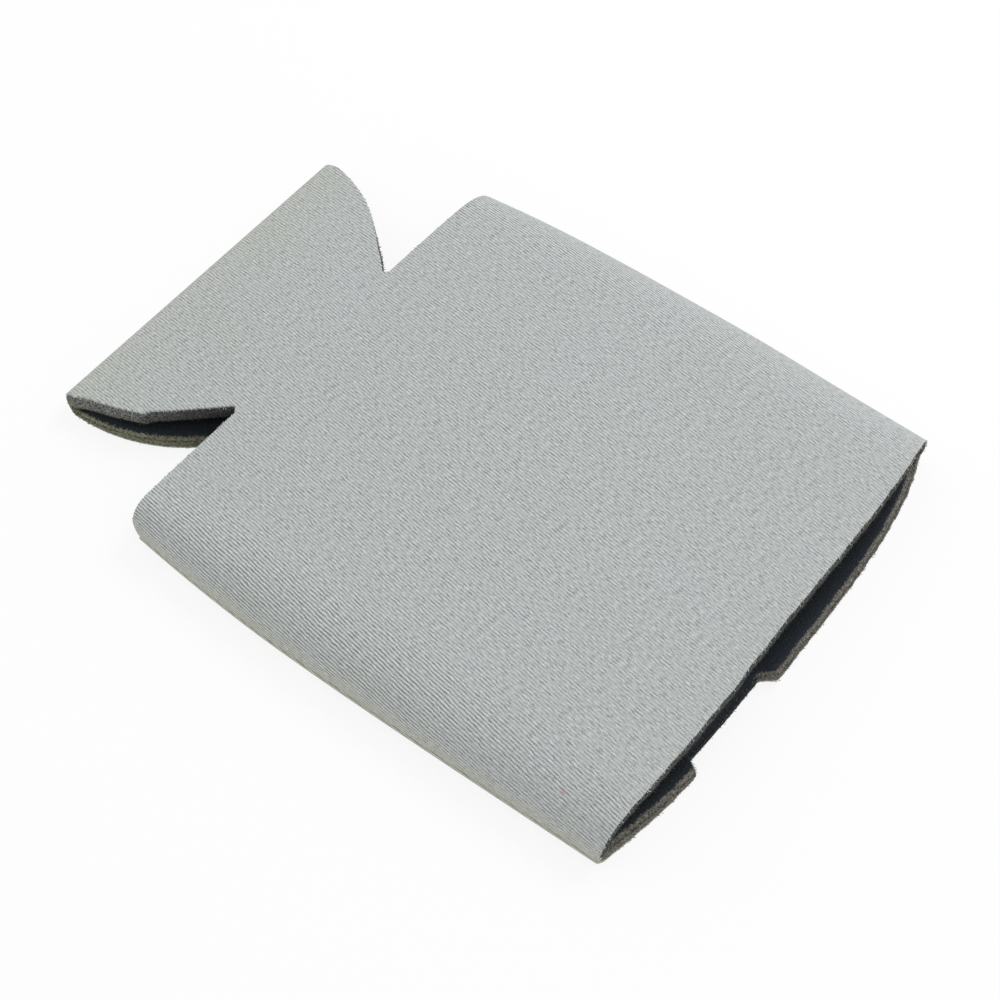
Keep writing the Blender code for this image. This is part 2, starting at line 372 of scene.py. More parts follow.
def ease(value, low=0.0, high=1.0):
    """0 below low and 1 above high, with a smooth turn between them."""
    share = np.clip((value - low) / (high - low), 0, 1)
    return share * share * (3 - 2 * share)


def hill(value, centre, spread):
    """A smooth hump, 1 at its centre."""
    return np.exp(-((value - centre) / spread) ** 2)


def side_arc():
    """Centre and radius of the base's side edge, square to the fold and tangent to the notch's round."""
    reach = FOLD_WIDTH / 2 + NOTCH_RADIUS
    run = BASE_LENGTH - NOTCH_RADIUS
    centre = (reach ** 2 - NOTCH_Y ** 2 - run ** 2) / (2 * (reach - NOTCH_Y))
    return centre, FOLD_WIDTH / 2 - centre


ARC_CENTRE, ARC_RADIUS = side_arc()
NOTCH_SWEEP = math.pi - math.atan2(NOTCH_Y - ARC_CENTRE, BASE_LENGTH - NOTCH_RADIUS)


def notch_x(angle):
    return BASE_X - NOTCH_RADIUS + NOTCH_RADIUS * np.cos(angle)


def notch_y(angle):
    return NOTCH_Y - NOTCH_RADIUS * np.sin(angle)


def base_half_width(from_fold):
    """Half of the base's width at a distance from the fold, as it was cut."""
    return ARC_CENTRE + np.sqrt(np.maximum(0, ARC_RADIUS ** 2 - from_fold ** 2))


print("side arc's radius in mm:", round(ARC_RADIUS / MM, 1))

# %% [markdown]
# A grid of lengthwise lanes and crosswise rows covers each panel. The lanes crowd towards the side
# seams, where the sheet turns over, so that the roll stays round without a dense mesh everywhere.
# The rows crowd at both ends, where the cut edges are. A subdivided box would waste faces on the flat.

# %% Lay out the grid
NECK_LANES = 76
BEND_LANES = 3
SIDE_LANES = 24
ROLL_LANES = 34
ROLL_CROWDING = 3.0
TOP_ROLL = 13.0 * MM
ROWS = 64
BASE_STEPS = 56
FOLD_STEPS = 16
UPPER, LOWER = "upper", "lower"


def make_lanes():
    """Signed distances of the lanes from the centre line, as they are at the base corners."""
    neck = np.linspace(0, notch_y(NOTCH_SWEEP / 2), NECK_LANES // 2 + 1)
    bend = notch_y(NOTCH_SWEEP / 2 * np.linspace(1, 0, BEND_LANES + 1)[1:])
    side = np.linspace(NOTCH_Y, CORNER - TOP_ROLL, SIDE_LANES + 1)[1:]
    roll_share = 1 - np.arange(1, ROLL_LANES + 1) / ROLL_LANES
    far = np.concatenate([neck, bend, side, CORNER - TOP_ROLL * roll_share ** ROLL_CROWDING])
    return np.concatenate([-far[:0:-1], far])


LANES = make_lanes()
MIDDLE = len(LANES) // 2
NEAR_NECK, FAR_NECK = MIDDLE - NECK_LANES // 2, MIDDLE + NECK_LANES // 2
LAST_LANE = len(LANES) - 1
SIDEWAYS = np.abs(LANES)
OUTWARD = np.clip((SIDEWAYS - NOTCH_Y) / (CORNER - NOTCH_Y), 0, 1)
IS_NEAR = LANES < 0
print(len(LANES), "lanes,", ROWS + 1, "rows")

# %% [markdown]
# The body is a soft tube that was pressed flat. Its upper panel rolls down to the seam in a full
# quarter round, tighter at the base corners, and the lower panel lies flat with a short turned-up edge.
# The knit is drawn in along the seam, which leaves a fine groove. Every height here is the outer or the
# inner face of the sheet, so the thickness is real foam thickness and not a modifier's guess.

# %% Shape the body's section
SEAM_GROOVE = 0.45 * MM
SEAM_GROOVE_SPREAD = 0.32 * MM
CREASE_RISE = 1.2 * MM
ROLL_FULLNESS = 2.4
LOWER_ROLL = 2.5 * MM
NEAR_CORNER_ROLL = 4.2 * MM
FAR_CORNER_ROLL = 8.5 * MM
CORNER_ROLL_RUN = 30.0 * MM
CORNER_ROLL_CURVE = 0.8
BODY_OPENING = 5
FAR_MOUTH_PULL = 0.5 * MM
FAR_PULL_FROM, FAR_PULL_TO = 0.55 * PANEL_LENGTH, 0.85 * PANEL_LENGTH
NEAR_BELLY = 0.5 * MM
NEAR_BELLY_PLACE = 1.1 * BELLY_FROM_BASE


def body_half_width(from_base):
    """Half of the body's width: a belly between the base corners and the mouth."""
    to_base = np.clip(1 - from_base / BELLY_FROM_BASE, 0, 1)
    to_mouth = np.clip((from_base - BELLY_FROM_BASE) / (PANEL_LENGTH - BELLY_FROM_BASE), 0, 1)
    loss = (BELLY_WIDTH - BASE_CORNER_WIDTH) * to_base ** 2 + (BELLY_WIDTH - MOUTH_WIDTH) * to_mouth ** 2
    return (BELLY_WIDTH - loss) / 2


def body_height(from_base):
    """Height of the upper panel's face: the hollow opens soon after the neck."""
    closed = np.clip(1 - from_base / PANEL_LENGTH, 0, 1) ** BODY_OPENING
    return 2 * SHEET + mix(MOUTH_GAP, NECK_GAP, closed)


def roll(depth):
    """The section of a rolled edge: 0 at the seam, 1 past the roll."""
    inward = np.clip(depth, 0, 1)
    return (1 - (1 - inward) ** ROLL_FULLNESS) ** (1 / ROLL_FULLNESS)


def roll_width(from_base):
    """Width of the upper panel's roll, which is tighter at the base corners, most of all the near one."""
    corner = np.where(IS_NEAR, NEAR_CORNER_ROLL, FAR_CORNER_ROLL)
    return mix(corner, TOP_ROLL, np.clip(from_base / CORNER_ROLL_RUN, 0, 1) ** CORNER_ROLL_CURVE)


def lopsided(half, from_base):
    """The photographed sleeve isn't quite even: its near side bellies more and its far mouth less."""
    far_pull = FAR_MOUTH_PULL * ease(from_base, FAR_PULL_FROM, FAR_PULL_TO)
    near_belly = NEAR_BELLY * hill(from_base, NEAR_BELLY_PLACE, BELLY_FROM_BASE)
    return half - np.where(IS_NEAR, 0, far_pull) + np.where(IS_NEAR, near_belly, 0)


def section(panel, from_base, inner):
    """Across and up for each lane at its distance from the base, on the sheet's outer or inner face."""
    depth = SHEET if inner else 0.0
    half = lopsided(body_half_width(from_base) - depth, from_base)
    reach = np.where(SIDEWAYS > NOTCH_Y, mix(NOTCH_Y, half, OUTWARD), SIDEWAYS)
    seam = SHEET + CREASE_RISE if inner else SEAM_HEIGHT
    if panel == UPPER:
        up = mix(seam, body_height(from_base) - depth, roll((half - reach) / roll_width(from_base)))
    else:
        up = mix(seam, depth, roll((half - reach) / LOWER_ROLL))
    if not inner:
        reach = reach - SEAM_GROOVE * hill(up, seam, SEAM_GROOVE_SPREAD) * ease(OUTWARD, 0.8, 0.95)
    return np.copysign(reach, LANES), up


print("height at the mouth in mm:", round(float(body_height(PANEL_LENGTH)) / MM, 2))

# %% [markdown]
# The mouth's rims are bowed, because the corners are drawn back when the tube is flattened, and the
# upper panel stops short of the lower one. The lower rim has one shallow cut in it, square at one
# end and rounder at the other. A die leaves foam edges a little wavy, and a few sines give that.
# At the other end the upper panel's notched edge stands out past the lower one's, since the tube was
# pressed askew. The overhang is larger on the near side, and fades out in the far corner.

# %% Shape the rims and the notched edge
LOWER_CORNER_PULL = 4.3 * MM
LOWER_RIM_CURVE = 3.2
UPPER_SETBACK = 2.4 * MM
UPPER_CORNER_PULL = 3.9 * MM
UPPER_RIM_CURVE = 4
RIM_CUT_DEPTH = 2.5 * MM
RIM_CUT_NEAR, RIM_CUT_FAR = -28.8 * MM, -4.4 * MM
RIM_CUT_NEAR_TURN, RIM_CUT_FAR_TURN = 2.0 * MM, 3.0 * MM
RIM_JOG = 0.35 * MM
RIM_JOG_Y = -13.0 * MM
RIM_WAVER = 0.10 * MM
CORNER_BACK = 1.0 * MM
CORNER_CURVE = 4
OVERHANG = 1.1 * MM
OVERHANG_LEAN = mix(0.8, 0.6, np.clip((LANES / NOTCH_Y + 1) / 2, 0, 1))
NEAR_OVERHANG_GAIN = 0.4
FAR_OVERHANG_LOSS = 0.9
NEAR_CORNER_BACK = 0.4
FAR_RIM_PULL = 0.7 * MM
FAR_RIM_CURVE = 8


def waver(across, phase):
    """A small unevenness along a cut edge, from -1 to 1."""
    waves = ((2.9, 0.25), (4.7, 0.35), (11.0, 0.4))
    return sum(size * np.sin(2 * math.pi * across / (length * MM) + phase * length) for length, size in waves)


def rim_x(panel):
    """Where each lane ends at the mouth."""
    share = SIDEWAYS / CORNER
    across = LANES * MOUTH_WIDTH / BASE_CORNER_WIDTH
    far_pull = np.where(IS_NEAR, 0, FAR_RIM_PULL * share ** FAR_RIM_CURVE)
    if panel == UPPER:
        end = MOUTH_X - mix(UPPER_SETBACK, UPPER_CORNER_PULL, share ** UPPER_RIM_CURVE) - far_pull
        end = end - RIM_JOG * ease(across, RIM_JOG_Y - 0.4 * MM, RIM_JOG_Y + 0.4 * MM) * (1 - share) ** 2
        return end + RIM_WAVER * waver(across, 1.0)
    end = MOUTH_X - LOWER_CORNER_PULL * share ** LOWER_RIM_CURVE - far_pull
    cut = ease(across, RIM_CUT_NEAR, RIM_CUT_NEAR + RIM_CUT_NEAR_TURN)
    cut = cut * (1 - ease(across, RIM_CUT_FAR - RIM_CUT_FAR_TURN, RIM_CUT_FAR))
    return end - RIM_CUT_DEPTH * cut + RIM_WAVER * waver(across, 2.0) * (1 - cut)


def edge_x():
    """Where each lane starts: the body's edge at the notches, with its corners drawn back."""
    lean = np.arcsin(np.clip((NOTCH_Y - SIDEWAYS) / NOTCH_RADIUS, 0, 1))
    neck_end = notch_y(NOTCH_SWEEP / 2)
    neck = mix(BASE_X, notch_x(NOTCH_SWEEP / 2), (SIDEWAYS / neck_end) ** 12)
    start = np.where(SIDEWAYS <= neck_end + 1e-9, neck, notch_x(lean))
    return start + CORNER_BACK * np.where(IS_NEAR, NEAR_CORNER_BACK, 1.0) * OUTWARD ** CORNER_CURVE


def overhang(panel, up):
    """How far the upper panel's notched edge stands out past the lower one's."""
    if panel == LOWER:
        return 0.0
    share = np.where(IS_NEAR, 1 + NEAR_OVERHANG_GAIN * OUTWARD, 1 - FAR_OVERHANG_LOSS * OUTWARD)
    return OVERHANG * OVERHANG_LEAN * share * ease(up, SEAM_HEIGHT, 6.0 * MM)


print("rims span in mm:", round(float(np.ptp(rim_x(LOWER))) / MM, 2))

# %% [markdown]
# The base is folded back on itself, so its upper layer is drawn in a little at both sides and the whole
# tail lies askew: it leans to one side at the neck and to the other at the fold. How far the edges
# are drawn in follows no simple rule, so it is read from the photograph's edges as a short table. The
# quick drop in the near edge's table is the small kink that shows there. The fold presses the foam
# thinner, and more so in the lower layer, so the inner faces meet below the middle of its height.

# %% Shape the base
FOLD_SHEET = 2.65 * MM
FOLD_GAP = 0.1 * MM
FOLD_REACH = 0.35 * MM
FOLD_RADIUS = FOLD_SHEET + FOLD_GAP / 2
FOLD_CENTRE_X = FOLD_X - FOLD_REACH + FOLD_RADIUS
FOLD_SQUEEZE = 6
FOLD_SKEW = 0.35 * MM
FOLD_DROP = 1.2 * MM
BASE_OPENING = 1.5
NECK_SHIFT = {UPPER: -1.2 * MM, LOWER: -1.7 * MM}
NECK_SHIFT_RUN = 20.0 * MM
FOLD_SHIFT = 0.5 * MM
FOLD_DRAW = 0.4 * MM
NEAR_PULL = ((0.0, 0.0), (0.05, 0.9), (0.10, 1.56), (0.16, 2.04), (0.21, 2.27), (0.28, 2.38), (0.35, 2.25),
             (0.40, 2.12), (0.48, 1.90), (0.515, 1.22), (0.55, 1.32), (0.60, 1.44), (0.67, 1.55),
             (0.74, 1.58), (0.81, 1.59), (0.89, 1.48), (0.96, 1.10), (1.0, 0.45))
FAR_PULL = ((0.0, 0.0), (0.05, 0.5), (0.10, 1.3), (0.19, 2.22), (0.26, 2.43), (0.33, 2.36), (0.42, 2.08),
            (0.49, 1.88), (0.57, 1.52), (0.64, 1.32), (0.71, 1.15), (0.83, 0.72), (0.96, 0.32), (1.0, 0.5))
UNDER_PULL = ((0.0, 0.0), (0.05, 0.35), (0.12, 0.9), (0.20, 1.35), (0.35, 1.4), (0.5, 1.1), (0.8, 0.5),
              (1.0, 0.5))
BEND_ANGLES = NOTCH_SWEEP / 2 * (1 + np.arange(1, BEND_LANES + 1) / BEND_LANES)


def pull(closed, table):
    """How far an edge is drawn in, from a table of places between the neck and the fold and sizes in mm."""
    places, sizes = zip(*table)
    return np.interp(closed, places, sizes) * MM


def base_layer(panel, x, inner):
    """The rows of one layer of the base, from the neck to the fold."""
    closed = np.clip((BASE_X - x) / (BASE_X - FOLD_CENTRE_X), 0, 1)[:, None]
    sheet = mix(SHEET, FOLD_SHEET, closed ** FOLD_SQUEEZE)
    gap = mix(FOLD_GAP, NECK_GAP, np.cos(math.pi / 2 * closed) ** BASE_OPENING)
    half = base_half_width(x - FOLD_X)[:, None]
    half[:BEND_LANES, 0] = notch_y(BEND_ANGLES)
    share = LANES[NEAR_NECK:FAR_NECK + 1][None, :] / notch_y(NOTCH_SWEEP / 2)
    shift = mix(NECK_SHIFT[panel], FOLD_SHIFT, closed)
    near, far = -half, half
    if panel == UPPER:
        near = near + pull(closed, NEAR_PULL)
    far = far - pull(closed, FAR_PULL if panel == UPPER else UNDER_PULL)
    across = mix(near, far, (share + 1) / 2) + shift
    drop = FOLD_DROP * closed ** 2 if inner else 0
    depth = sheet if inner else 0 * sheet
    up = 2 * sheet + gap - depth - drop if panel == UPPER else depth - drop
    lean = OVERHANG * OVERHANG_LEAN[None, NEAR_NECK:FAR_NECK + 1]
    along = x[:, None] - (lean * (1 - closed) ** 2 if panel == UPPER else 0)
    return np.stack(np.broadcast_arrays(along, across, up), axis=-1)


def base_rows(inner):
    """Every row of the base: its upper layer, the turn at the fold, and its lower layer."""
    straight = np.linspace(notch_x(NOTCH_SWEEP), FOLD_CENTRE_X, BASE_STEPS + 1)[1:]
    x = np.concatenate([notch_x(BEND_ANGLES), straight])
    over = base_layer(UPPER, x, inner)
    under = base_layer(LOWER, x, inner)[::-1]
    turn = np.linspace(0, math.pi, FOLD_STEPS + 1)[1:-1, None]
    radius = FOLD_GAP / 2 if inner else FOLD_RADIUS
    across = mix(over[-1, :, 1], under[0, :, 1], (1 - np.cos(turn)) / 2)
    drawn = 0 if inner else FOLD_DRAW * np.sin(turn)
    across = across * (1 - drawn / (FOLD_WIDTH / 2))
    along = FOLD_CENTRE_X - radius * np.sin(turn)
    up = FOLD_RADIUS + radius * np.cos(turn) - (FOLD_DROP if inner else 0)
    rows = np.concatenate([over, np.stack(np.broadcast_arrays(along, across, up), axis=-1), under])
    to_fold = ease((BASE_X - rows[..., 0]) / BASE_LENGTH, 0.4, 1.0)
    rows[..., 0] -= FOLD_SKEW * to_fold * np.linspace(0, 1, NECK_LANES + 1)
    return rows


print("fold reaches", round((FOLD_X - FOLD_CENTRE_X + FOLD_RADIUS) / MM, 2), "mm past the frame")

# %% [markdown]
# Now the rule gives every place on the sheet. The blank is three grids that share their edges: the
# upper panel, the base with its fold, and the lower panel. Two copies, outer face and inner face, are
# enough, because any depth between them is a straight mix. The cloth's UV map is measured along the
# blank and across it in metres, over the rolls too, so that the ribs keep their pitch everywhere.

# %% Work out the blank's outer and inner face
CREASE_AT = Vector((-50.4 * MM, -31.5 * MM))
CREASE_TOWARDS = Vector((-0.35, 0.94))
CREASE_LENGTH = 3.2 * MM
CREASE_SPREAD = 0.55 * MM
CREASE_DEPTH = 0.50 * MM
CREASE_OVERRUN = 2.0 * MM
SWELL = 0.10 * MM
SOFT_FROM_FOLD = 8.0 * MM
SOFT_HEIGHTS = 3.0 * MM, 8.0 * MM
CORNER_FADE = 8.0 * MM


def body_rows(panel, inner):
    """Every row of a body panel, from its notched edge to the mouth."""
    rows = []
    start, end = edge_x(), rim_x(panel)
    inner_lanes = 1 - ease(SIDEWAYS, NOTCH_Y + 2 * MM, CORNER - CORNER_FADE)
    for row in range(ROWS + 1):
        share = (1 - math.cos(math.pi * row / ROWS)) / 2
        along = mix(start, end, share)
        from_base = np.maximum(0, along - BASE_X)
        across, up = section(panel, from_base, inner)
        along = along - overhang(panel, up) * (1 - share) ** 3
        shift = NECK_SHIFT[panel] * (hill(from_base, 0, NECK_SHIFT_RUN) * inner_lanes)
        rows.append(np.stack([along, across + shift, up], axis=-1))
    return np.array(rows)


def soften(points, strength):
    """The light unevenness of pressed foam, and the crease at the kink, both only on upper faces."""
    x, y = points[..., 0], points[..., 1]
    swell = np.sin(x / (17 * MM) + 1.3) * np.sin(y / (21 * MM) + 0.4) + 0.6 * np.sin((x + y) / (11 * MM))
    run = (x - CREASE_AT.x) * CREASE_TOWARDS.x + (y - CREASE_AT.y) * CREASE_TOWARDS.y
    aside = (y - CREASE_AT.y) * CREASE_TOWARDS.x - (x - CREASE_AT.x) * CREASE_TOWARDS.y
    crease = hill(aside, 0, CREASE_SPREAD) * (1 - ease(run, 0, CREASE_LENGTH)) * (run > -CREASE_OVERRUN)
    points[..., 2] += strength * (SWELL * swell - CREASE_DEPTH * crease)


def blank(inner):
    """The places of the three grids on one face of the sheet."""
    upper, base = body_rows(UPPER, inner), base_rows(inner)
    on_top = np.arange(len(base)) < len(base) // 2
    soften(base, on_top[:, None] * ease(base[..., 0], FOLD_X, FOLD_X + SOFT_FROM_FOLD))
    soften(upper, ease(upper[..., 2], *SOFT_HEIGHTS))
    return {UPPER: upper, LOWER: body_rows(LOWER, inner), "base": base}


def cloth_places():
    """Along and across the flat blank, in metres, for each place of the three grids."""
    outer = FACES[0]
    turn_length = 2 * FOLD_CENTRE_X - math.pi * FOLD_RADIUS
    places = {}
    for panel in (UPPER, LOWER):
        steps = np.linalg.norm(np.diff(outer[panel], axis=1) * [0, 1, 1], axis=-1)
        run = np.concatenate([np.zeros((ROWS + 1, 1)), np.cumsum(steps, axis=1)], axis=1)
        across = run - run[:, MIDDLE:MIDDLE + 1] + outer[panel][:, MIDDLE:MIDDLE + 1, 1]
        along = outer[panel][..., 0]
        places[panel] = np.stack([along if panel == UPPER else turn_length - along, across], axis=-1)
    steps = np.linalg.norm(np.diff(outer["base"][:, NECK_LANES // 2], axis=0)[:, [0, 2]], axis=-1)
    along = outer["base"][0, NECK_LANES // 2, 0] - np.concatenate([[0], np.cumsum(steps)])
    places["base"] = np.stack(np.broadcast_arrays(along[:, None], outer["base"][..., 1]), axis=-1)
    return places


FACES = (blank(inner=False), blank(inner=True))
CLOTH = cloth_places()
print("outer face, mm across:", round(float(np.ptp(FACES[0][UPPER][..., 1])) / MM, 1))

# %% [markdown]
# A piece of the laminate is a closed shell between two depths of the sheet. Its two faces are the same
# grids, and strips close it along the mouth and round both notches. Solidify could thicken a single
# face, but it would not know where the seams' inner faces lie. So every grid place gets a vertex number
# first, and the edges that need a strip are named by those numbers. The distance to the nearest cut
# gives two masks: where the pale cut face fades into the dark nap, and where handling has worn the
# lower layer's inner edge round. In the shallow rim cut the cut face is darker, and hardly shows pale.

# %% Number the places and find the cut edges
SEAM_LANES = (0, LAST_LANE)
CUT_FADE_START, CUT_FADE_END = 0.1 * MM, 1.3 * MM
RIM_CUT_DIMMING = 0.7
RIM_CUT_DIM_ROWS = 9
RIM_CUT_DIM_NEAR_TURN, RIM_CUT_DIM_FAR_TURN = 2.0 * MM, 5.0 * MM


def grid_numbers():
    """Each grid place's vertex number: panels share their seam lanes, and the base its end rows."""
    rows, lanes = ROWS + 1, LAST_LANE + 1
    upper = np.arange(rows * lanes).reshape(rows, lanes)
    count = upper.size
    lower = np.empty_like(upper)
    inside = slice(1, LAST_LANE)
    lower[:, inside] = count + np.arange(rows * (lanes - 2)).reshape(rows, lanes - 2)
    lower[:, SEAM_LANES] = upper[:, SEAM_LANES]
    count += rows * (lanes - 2)
    middle = count + np.arange(FACES[0]["base"][..., 0].size).reshape(FACES[0]["base"].shape[:2])
    neck = slice(NEAR_NECK, FAR_NECK + 1)
    base = np.concatenate([upper[:1, neck], middle, lower[:1, neck]])
    return {UPPER: upper, LOWER: lower, "base": base}, count + middle.size


NUMBERS, COUNT = grid_numbers()


def cut_loops():
    """The three closed cut edges, each as vertex numbers with the number of the next place inwards."""
    upper, lower, base = NUMBERS[UPPER], NUMBERS[LOWER], NUMBERS["base"]
    mouth = [(upper[-1], upper[-2]), (lower[-1, -2:0:-1], lower[-2, -2:0:-1])]
    near = [(upper[0, :NEAR_NECK], upper[1, :NEAR_NECK]), (base[:, 0], base[:, 1]),
            (lower[0, NEAR_NECK - 1:0:-1], lower[1, NEAR_NECK - 1:0:-1])]
    far = [(upper[0, :FAR_NECK:-1], upper[1, :FAR_NECK:-1]), (base[:, -1], base[:, -2]),
           (lower[0, FAR_NECK + 1:LAST_LANE], lower[1, FAR_NECK + 1:LAST_LANE])]
    loops = {"mouth": mouth, "near_notch": near, "far_notch": far}
    return {name: tuple(np.concatenate(side) for side in zip(*parts)) for name, parts in loops.items()}


LOOPS = cut_loops()


def cut_distances():
    """How far each place of the three grids is from the nearest cut edge of its own layer."""
    away = {}
    is_neck = np.abs(np.arange(LAST_LANE + 1) - MIDDLE) <= NECK_LANES // 2
    for panel in (UPPER, LOWER):
        along = FACES[0][panel][..., 0]
        to_notch = np.where(is_neck, np.inf, along - along[0])
        away[panel] = np.minimum(to_notch, along[-1] - along)
    across = FACES[0]["base"][..., 1]
    away["base"] = np.minimum(across - across[:, :1], across[:, -1:] - across)
    return away


AWAY = cut_distances()


def rounded_share():
    """1 along the lower layer's cut edges, where the foam's inner edge is worn round, and 0 elsewhere."""
    share = np.zeros(COUNT)
    fold = len(AWAY["base"]) // 2
    share[NUMBERS["base"][fold, [0, -1]]] = 1
    share[NUMBERS["base"][1:-1][fold:]] = 1 - ease(AWAY["base"][fold:], 0, CUT_FADE_END)
    share[NUMBERS[LOWER]] = 1 - ease(AWAY[LOWER], 0, CUT_FADE_END)
    share[NUMBERS[UPPER]] = 0
    return share


def cut_share():
    """1 on the cut edges, fading over the nap beside them, and low across the shallow rim cut, where the cut
    face shows dark.
    """
    share = np.zeros(COUNT)
    for grid, numbers in ((UPPER, NUMBERS[UPPER]), (LOWER, NUMBERS[LOWER]), ("base", NUMBERS["base"][1:-1])):
        share[numbers] = 1 - ease(AWAY[grid], CUT_FADE_START, CUT_FADE_END)
    across = FACES[0][LOWER][-1, :, 1]
    inside = ease(across, RIM_CUT_NEAR, RIM_CUT_NEAR + RIM_CUT_DIM_NEAR_TURN)
    inside = inside * (1 - ease(across, RIM_CUT_FAR - RIM_CUT_DIM_FAR_TURN, RIM_CUT_FAR))
    # Across the shallow rim cut the cut face mostly takes the dark nap's colour.
    share[NUMBERS[LOWER][-RIM_CUT_DIM_ROWS:]] *= 1 - RIM_CUT_DIMMING * inside
    return share


ROUNDED_SHARE, CUT_SHARE = rounded_share(), cut_share()
print("places on a cut face:", int((CUT_SHARE > 0.5).sum()), "of", COUNT)

# %% [markdown]
# The strips between the two faces are built ring by ring, from the outer face to the inner one. Smooth
# noise pushes the foam's rings in and out along the sheet, so that the cut faces are torn and not planed.

# %% Build the two shells
KNIT_DEPTH = 0.35 * MM / SHEET
LAMINATE_GAP = 0.02 * MM / SHEET
FOAM_ROUGH = 0.16 * MM
FOAM_GRAIN = 0.55 * MM
FOAM_BULGE = 0.20 * MM
GRAIN_SHIFT = 3.7
EDGE_ROUND = 0.3
EDGE_ANGLE = math.radians(55)


def face_points(depth):
    """All places of the blank at a share of the sheet's depth, by vertex number."""
    ends = []
    for face in FACES:
        points = np.zeros((COUNT, 3))
        for grid in (UPPER, LOWER):
            points[NUMBERS[grid]] = face[grid]
        points[NUMBERS["base"][1:-1]] = face["base"]
        ends.append(points)
    return mix(*ends, depth * (1 - EDGE_ROUND * ROUNDED_SHARE * depth ** 2)[:, None])


def outwards(points, loop):
    """Unit directions out of the sheet, square to a cut edge."""
    edge, inside = LOOPS[loop]
    away = points[edge] - points[inside]
    return away / np.linalg.norm(away, axis=1)[:, None]


def quads(numbers):
    """The quads of a grid of vertex numbers."""
    corners = numbers[:-1, :-1], numbers[:-1, 1:], numbers[1:, 1:], numbers[1:, :-1]
    return np.stack(corners, axis=-1).reshape(-1, 4)


def grain(points, size, shift):
    """Smooth noise at each place, from -1 to 1."""
    shifted = points / size + shift
    return np.array([noise.noise(Vector(place)) for place in shifted])[:, None]


def shell(name, outer_depth, inner_depth, strips, rough=0.0):
    """A closed mesh between two depths. Its strips may be roughened and swell out a little."""
    layers = [face_points(outer_depth), face_points(inner_depth)]
    points = list(layers)
    faces, uvs = [], []
    for layer, flip in ((0, 1), (1, -1)):
        for grid, numbers in NUMBERS.items():
            places = CLOTH[grid]
            if grid == "base":
                neck = slice(NEAR_NECK, FAR_NECK + 1)
                places = np.concatenate([CLOTH[UPPER][:1, neck], places, CLOTH[LOWER][:1, neck]])
            side = 1 if grid == LOWER else -1
            order = slice(None, None, flip * side)
            faces.append((quads(numbers) + layer * COUNT)[:, order])
            corners = quads(np.arange(numbers.size).reshape(numbers.shape))[:, order]
            uvs.append(places.reshape(-1, 2)[corners].reshape(-1, 2))
    total = 2 * COUNT
    cut = [np.tile(CUT_SHARE, 2)]
    for loop, (edge, _) in LOOPS.items():
        ends = [layer[edge] for layer in layers]
        away = (outwards(layers[0], loop) + outwards(layers[1], loop)) / 2
        rings = [edge]
        for strip in range(1, strips):
            share = strip / strips
            ring = mix(ends[0], ends[1], share)
            swell = FOAM_BULGE * math.sin(math.pi * share) * (rough > 0)
            ring = ring + away * (swell + rough * grain(ring, FOAM_GRAIN, GRAIN_SHIFT))
            points.append(ring)
            rings.append(total + np.arange(len(edge)))
            total += len(edge)
            cut.append(CUT_SHARE[edge])
        rings.append(edge + COUNT)
        ring_numbers = np.array([np.append(ring, ring[0]) for ring in rings])
        faces.append(quads(ring_numbers))
        uvs.append(np.concatenate(points)[quads(ring_numbers)][..., :2].reshape(-1, 2))
    return make_mesh(name, *(np.concatenate(arrays) for arrays in (points, faces, uvs, cut)))


def make_mesh(name, points, faces, uvs, cut):
    """A smooth mesh object from plain arrays, with its cloth map and the mask of its cut faces."""
    mesh = bpy.data.meshes.new(name)
    mesh.from_pydata(points.tolist(), [], faces.tolist())
    mesh.uv_layers.new(name=CLOTH_MAP).data.foreach_set("uv", uvs.ravel())
    mesh.attributes.new("cut", "FLOAT", "POINT").data.foreach_set("value", cut)
    bm = bmesh.new()
    bm.from_mesh(mesh)
    bmesh.ops.recalc_face_normals(bm, faces=bm.faces)
    bm.to_mesh(mesh)
    bm.free()
    mesh.polygons.foreach_set("use_smooth", [True] * len(mesh.polygons))
    return add_object(name, mesh)


knit_face = shell("knit_face", 0.0, KNIT_DEPTH, strips=2)
foam_core = shell("foam_core", KNIT_DEPTH + LAMINATE_GAP, 1.0, strips=6, rough=FOAM_ROUGH)
for piece in (knit_face, foam_core):
    piece.data.set_sharp_from_angle(angle=EDGE_ANGLE)
    print(piece.name, len(piece.data.vertices), "vertices", len(piece.data.polygons), "faces")

# %% [markdown]
# Where the die cut through the laminate, yarn ends of the knit hang over the foam and dark tufts stick
# out of its inner edge. Fibres like these follow a path, so Geometry Nodes scatter them: a rail
# of edges becomes a curve, the curve is resampled at a pitch, and one tapered, bent fibre is put on
# each point with its own turn and size. The tree's inputs have names, so one tree serves both kinds.
# Curve to Mesh takes the taper by its Scale input. Fibres that would dip into the table lie on it.

# %% Make the fibre tree
FIBRE_INPUTS = ("Pitch", "Length", "Thickness", "Spread")
FIBRE_SIDES = 4
FIBRE_POINTS = 4
FIBRE_BEND = 0.35
FIBRE_TIP = 0.3
FIBRE_STRAY = 0.4
FIBRE_SIZES = (0.7, 0.7, 0.35), (1.1, 1.1, 1.25)
FIBRE_SEED = 11


def random_vector(link, low, high, seed):
    """A random vector for each point, from a fixed seed."""
    values = {0: low, 1: high, 8: seed}
    return link.node("FunctionNodeRandomValue", {"data_type": "FLOAT_VECTOR"}, values)


